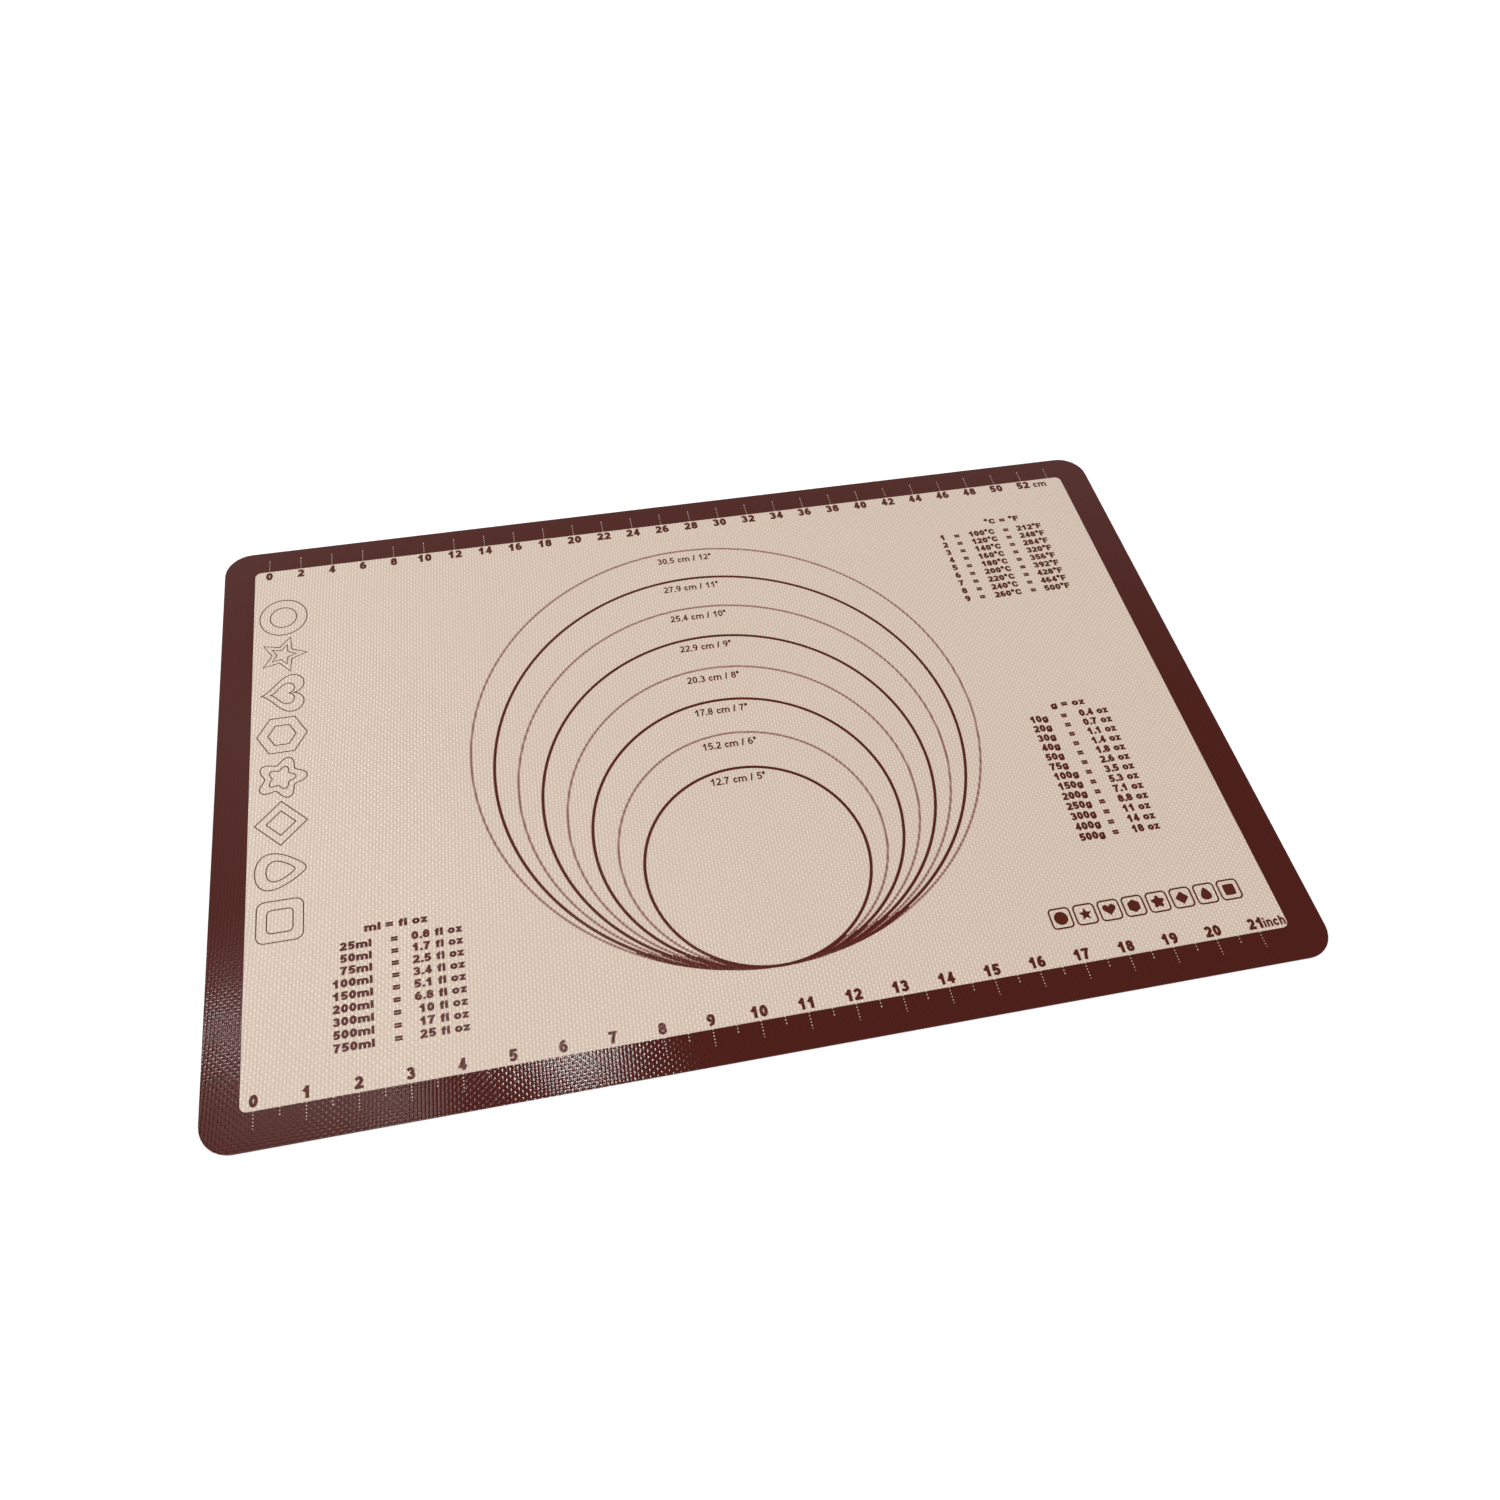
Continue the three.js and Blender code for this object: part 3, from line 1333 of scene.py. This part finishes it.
def tables() -> list[Table]:
    """The mat's three tables, worked out from the units.

    Returns:
        The tables of volumes, weights and temperatures.
    """
    ml = (25, 50, 75, 100, 150, 200, 300, 500, 750)
    grams = (10, 20, 30, 40, 50, 75, 100, 150, 200, 250, 300, 400, 500)
    celsius = range(100, 280, 20)
    volume_columns = [
        Column(-213.8, Align.RIGHT, [f"{v}ml" for v in ml]),
        Column(-201.6, Align.CENTRE, ["="] * len(ml)),
        Column(-165.9, Align.RIGHT, [f"{amount(v / ML_PER_FLUID_OUNCE)} fl oz" for v in ml]),
    ]
    weight_columns = [
        Column(184.5, Align.LEFT, [f"{v}g" for v in grams]),
        Column(206.5, Align.CENTRE, ["="] * len(grams)),
        Column(216.4, Align.LEFT, [f"{amount(v / GRAMS_PER_OUNCE)} oz" for v in grams]),
    ]
    temperature_columns = [
        Column(177.6, Align.CENTRE, [str(row + 1) for row in range(len(celsius))]),
        Column(187.8, Align.CENTRE, ["="] * len(celsius)),
        Column(215.0, Align.RIGHT, [f"{v}°C" for v in celsius]),
        Column(223.2, Align.CENTRE, ["="] * len(celsius)),
        Column(248.8, Align.RIGHT, [f"{v * 9 // 5 + 32}°F" for v in celsius]),
    ]
    return [
        Table(
            "volume_table",
            "ml = fl oz",
            head_place=(-200.4, -89.0),
            first_row=-98.1,
            columns=volume_columns,
            style=Lettering(4.75, Weight.BOLD, stretch=1.08, gap=0.085),
        ),
        Table(
            "weight_table",
            "g = oz",
            head_place=(211.8, -12.2),
            first_row=-20.7,
            columns=weight_columns,
            style=Lettering(5.05, Weight.BOLD, stretch=0.97, gap=0.055),
        ),
        Table(
            "temperature_table",
            "°C = °F",
            head_place=(223.2, 146.3),
            first_row=136.8,
            columns=temperature_columns,
            style=Lettering(4.9, Weight.BOLD, stretch=1.01, gap=0.05),
        ),
    ]


class Cutter(Enum):
    """Biscuit-cutter shapes, all drawn inside a circle of radius 1."""

    ROUND = "round"
    STAR = "star"
    HEART = "heart"
    HEXAGON = "hexagon"
    FLOWER = "flower"
    DIAMOND = "diamond"
    DROP = "drop"
    SQUARE = "square"

    def outline(self) -> np.ndarray:
        """Outline of the shape.

        Round: radius 1. Flower: radius 0.82 plus 0.18 times the cosine of five times the angle. Star, hexagon
        and diamond: straight lines between points at equal angles. Heart: the usual curve of sine cubed
        against four cosines. Drop: a circle that narrows upwards. Square: with round corners.

        Returns:
            The outline, counterclockwise, as an (N, 2) array.
        """
        facets = 48
        t = np.linspace(0, 2 * math.pi, facets, endpoint=False)
        circle = np.column_stack([np.cos(t), np.sin(t)])
        if self is Cutter.FLOWER:
            return circle * (0.82 + 0.18 * np.cos(5 * (t - QUARTER_TURN)))[:, None]
        if self is Cutter.HEART:
            y = 13 * np.cos(t) - 5 * np.cos(2 * t) - 2 * np.cos(3 * t) - np.cos(4 * t)
            return np.column_stack([-16 * np.sin(t) ** 3, y + 2.5]) / 16.5
        if self is Cutter.DROP:
            return np.column_stack([0.72 * np.cos(t) * (1 - 0.5 * np.sin(t)), 0.95 * np.sin(t)])
        if self is Cutter.ROUND:
            return circle
        if self is Cutter.SQUARE:
            side = 1.7
            return rounded_rectangle((side, side), (0, 0), radius=0.3, facets=6)
        corners = {Cutter.STAR: 10, Cutter.HEXAGON: 6, Cutter.DIAMOND: 4}[self]
        inner_radius = 0.45 if self is Cutter.STAR else 1.0
        number = np.arange(corners)
        angles = QUARTER_TURN + number * 2 * math.pi / corners
        radii = np.where(number % 2, inner_radius, 1.0)
        return np.column_stack([np.cos(angles), np.sin(angles)]) * radii[:, None]


@dataclass
class CutterTiles(Print):
    """Row of small framed cutter shapes by the front right corner.

    Attributes:
        first: Left end of the row.
        middle_y: Height of its middle.
        tile: Width of a tile.
        step: From one tile to the next.
        radius: Radius of a tile's corners.
        corner_facets: Facets of each corner.
        pen: Width of the frames' lines.
        shape_share: Radius of a shape over a tile's width.
    """

    first: float = 149.4
    middle_y: float = -151.3
    tile: float = 12.7
    step: float = 14.25
    radius: float = 2.2
    corner_facets: int = 4
    pen: float = 0.95
    shape_share: float = 0.31

    def film(self, level: Level) -> Film:
        """Draws the frames and the shapes in them.

        Args:
            level: Heights of the film.

        Returns:
            All their ink.
        """
        film = Film()
        side = self.tile - self.pen
        for number, shape in enumerate(Cutter):
            middle = np.array([self.first + self.tile / 2 + number * self.step, self.middle_y])
            frame = rounded_rectangle((side, side), tuple(middle), self.radius, self.corner_facets)
            film.add(stroke(frame, (self.pen, self.pen), level, True))
            film.add(slab(middle + shape.outline() * self.tile * self.shape_share, level, True))
        return film


@dataclass
class CutterStrip(Print):
    """Strip of large outlined cutter shapes along the left border.

    Attributes:
        middle_x: Middle of the strip.
        first_y: Middle of its first shape.
        step: From one shape to the next.
        size: Radius of a shape.
        inner: Radius of the shape inside it over its own.
        pen: Width of the lines.
    """

    middle_x: float = -261.1
    first_y: float = 139.6
    step: float = 30.9
    size: float = 14.6
    inner: float = 0.56
    pen: float = 0.6

    def film(self, level: Level) -> Film:
        """Draws the shapes, which are turned to face the left border.

        Args:
            level: Heights of the film.

        Returns:
            All their ink.
        """
        film = Film()
        for number, shape in enumerate(Cutter):
            middle = np.array([self.middle_x, self.first_y - number * self.step])
            turned = shape.outline() @ np.array([[0.0, -1.0], [1.0, 0.0]])
            for size in (self.size, self.size * self.inner):
                film.add(stroke(middle + turned * size, (self.pen, self.pen), level, True))
        return film


# The studio


@dataclass(frozen=True)
class Lamp:
    """A soft box, strip or window pane.

    Attributes:
        name: Its name.
        place: Where it is, in metres.
        size: Width and height, in metres.
        power: Power in watts.
        turn: Turn about its own axis, in degrees.
        aim: Point that it faces, in metres, or None for straight down.
    """

    name: str
    place: Place
    size: Point
    power: float
    turn: float = 0.0
    aim: Place | None = None

    def build(self) -> None:
        """Adds the lamp to the scene."""
        data = bpy.data.lights.new(self.name, "AREA")
        data.shape = "RECTANGLE"
        data.size, data.size_y = self.size
        data.energy = self.power
        lamp = bpy.data.objects.new(self.name, data)
        lamp.location = self.place
        lamp.rotation_mode = "QUATERNION"
        aim = self.aim or (*self.place[:2], 0.0)
        facing = (Vector(aim) - Vector(self.place)).to_track_quat("-Z", "Y")
        lamp.rotation_quaternion = facing @ Quaternion((0, 0, 1), math.radians(self.turn))
        bpy.context.scene.collection.objects.link(lamp)


MAT_MIDDLE: Place = (0.0, 0.0, 0.0)


@dataclass
class Studio:
    """White floor, soft light and the photograph's camera.

    Attributes:
        camera_place: The camera, in metres.
        camera_right: Direction to its right.
        camera_ahead: Direction that it looks in.
        focal_share: Focal length over the picture's width.
        axis_offset: Where the optical axis meets the picture, right of and above its middle, over its width.
        floor_size: Width of the floor, in metres.
        floor_drop: How far it lies under the mat, in metres.
        floor_glow: Light that it adds to what falls on it, only for the eye and in reflections.
        wall_level: Brightness of the walls.
        ceiling_level: Brightness of the ceiling.
        uphill: Direction in which the walls darken to the ceiling.
        walls_end: Rise in that direction where they start to darken, and where the ceiling starts.
        lamps: The lamps.
    """

    camera_place: Place = (-0.1024, -0.4009, 0.592)
    camera_right: Place = (0.9808, -0.1928, 0.0277)
    camera_ahead: Place = (0.133, 0.5595, -0.8181)
    focal_share: float = 0.8
    axis_offset: Point = (-0.0222, 0.0115)
    floor_size: float = 8.0
    floor_drop: float = 0.0003
    floor_glow: float = 0.35
    wall_level: float = 1.0
    ceiling_level: float = 0.14
    uphill: Place = (0.12, 0.0, 1.0)
    walls_end: Point = (0.62, 0.8)
    lamps: tuple[Lamp, ...] = (
        Lamp("left_strip", (-1.393, 1.419, 1.85), (0.37, 1.32), power=16.0),
        Lamp("front_left_box", (-1.3, -1.2, 1.6), (0.8, 0.8), power=11.0, aim=MAT_MIDDLE),
        Lamp("front_right_box", (2.0, -1.2, 1.4), (0.6, 0.6), power=17.5, aim=MAT_MIDDLE),
        Lamp("front_strip", (-0.13, -0.046, 1.85), (1.1, 0.29), power=4.8),
        Lamp("near_pane", (-0.185, 0.565, 1.85), (0.3, 0.045), power=1.75, turn=124.5),
        Lamp("middle_pane", (-0.505, 0.478, 1.85), (0.066, 0.083), power=0.17),
        Lamp("far_pane", (-0.869, 0.697, 1.85), (0.066, 0.05), power=0.31),
        Lamp("front_dim_pane", (-0.732, 0.635, 1.85), (0.413, 0.454), power=0.6),
        Lamp("back_dim_pane", (-0.761, 1.213, 1.85), (0.35, 0.74), power=0.28),
    )

    def build(self) -> None:
        """Builds the floor, the light and the camera."""
        self._build_floor()
        self._build_world()
        for lamp in self.lamps:
            lamp.build()
        self._build_camera()

    def _build_floor(self) -> None:
        """A large matt floor. The eye sees it a little brighter than it is lit, so that it reads as white."""
        half = self.floor_size / 2
        mesh = bpy.data.meshes.new("floor")
        corners = [(-half, -half), (half, -half), (half, half), (-half, half)]
        mesh.from_pydata([(x, y, -self.floor_drop) for x, y in corners], [], [(0, 1, 2, 3)])
        material, tree = new_material("matt_white")
        seen = add_node(tree, "ShaderNodeLightPath", out="Is Camera Ray")
        for ray in ("Is Glossy Ray", "Is Transmission Ray"):
            other = add_node(tree, "ShaderNodeLightPath", out=ray)
            seen = add_node(tree, MATH, {0: seen, 1: other}, operation="ADD")
        glow_level = add_node(tree, MATH, {0: seen, 1: self.floor_glow}, operation="MULTIPLY")
        diffuse = add_node(tree, "ShaderNodeBsdfDiffuse", {"Color": linear("#f2f2f2")})
        glow = add_node(tree, "ShaderNodeEmission", {"Strength": glow_level})
        both = add_node(tree, "ShaderNodeAddShader", {0: diffuse, 1: glow})
        add_node(tree, "ShaderNodeOutputMaterial", {0: both})
        mesh.materials.append(material)
        floor = bpy.data.objects.new("floor", mesh)
        bpy.context.scene.collection.objects.link(floor)

    def _build_world(self) -> None:
        """White walls that darken to a dim ceiling, sooner on the right, which light the mat softly."""
        world = bpy.data.worlds.new("surround")
        world.use_nodes = True
        tree = world.node_tree
        tree.nodes.clear()
        way = add_node(tree, "ShaderNodeTexCoord", out="Generated")
        rise = add_node(tree, VECTOR_MATH, {0: way, 1: self.uphill}, "Value", operation="DOT_PRODUCT")
        start, end = self.walls_end
        fade = {0: rise, 1: start, 2: end, 3: self.wall_level, 4: self.ceiling_level}
        sky = add_node(tree, "ShaderNodeBackground", {"Strength": add_node(tree, MAP_RANGE, fade)})
        add_node(tree, "ShaderNodeOutputWorld", {0: sky})
        bpy.context.scene.world = world

    def _build_camera(self) -> None:
        """The photograph's camera."""
        data = bpy.data.cameras.new("camera")
        data.sensor_width = 36.0
        data.lens = self.focal_share * data.sensor_width
        data.shift_x = -self.axis_offset[0]
        data.shift_y = -self.axis_offset[1]
        right = Vector(self.camera_right).normalized()
        ahead = Vector(self.camera_ahead).normalized()
        up = right.cross(ahead).normalized()
        right = ahead.cross(up)
        turn = Matrix((right, up, -ahead)).transposed().to_4x4()
        camera = bpy.data.objects.new("camera", data)
        camera.matrix_world = Matrix.Translation(self.camera_place) @ turn
        bpy.context.scene.collection.objects.link(camera)
        bpy.context.scene.camera = camera


def clear_scene() -> None:
    """Removes what Blender starts with."""
    for thing in list(bpy.data.objects):
        bpy.data.objects.remove(thing)


def main() -> None:
    """Builds the mat on the CAD frame, and the studio round it."""
    logging.basicConfig(level=logging.INFO, format="%(name)s: %(message)s")
    clear_scene()
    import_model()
    bpy.context.scene.view_settings.view_transform = "Standard"

    finishes = Finishes()
    sheet = Sheet()
    sheet.build(finishes)
    border = Border()
    pieces = [border.build(sheet, finishes)]
    pieces += RollingGuides().build(finishes)
    prints = [
        ScaleNumerals(
            "cm_numerals",
            border.cm_ticks()[:-1],
            step=2,
            baseline=173.4,
            unit="cm",
            unit_gap=7.4,
        ),
        ScaleNumerals(
            "inch_numerals",
            border.inch_ticks(),
            step=1,
            baseline=-176.8,
            unit="inch",
            unit_gap=4.6,
        ),
        *tables(),
        CutterTiles("cutter_tiles"),
        CutterStrip("cutter_strip"),
    ]
    pieces += [each.build(finishes) for each in prints]
    Studio().build()


if __name__ == "__main__":
    main()
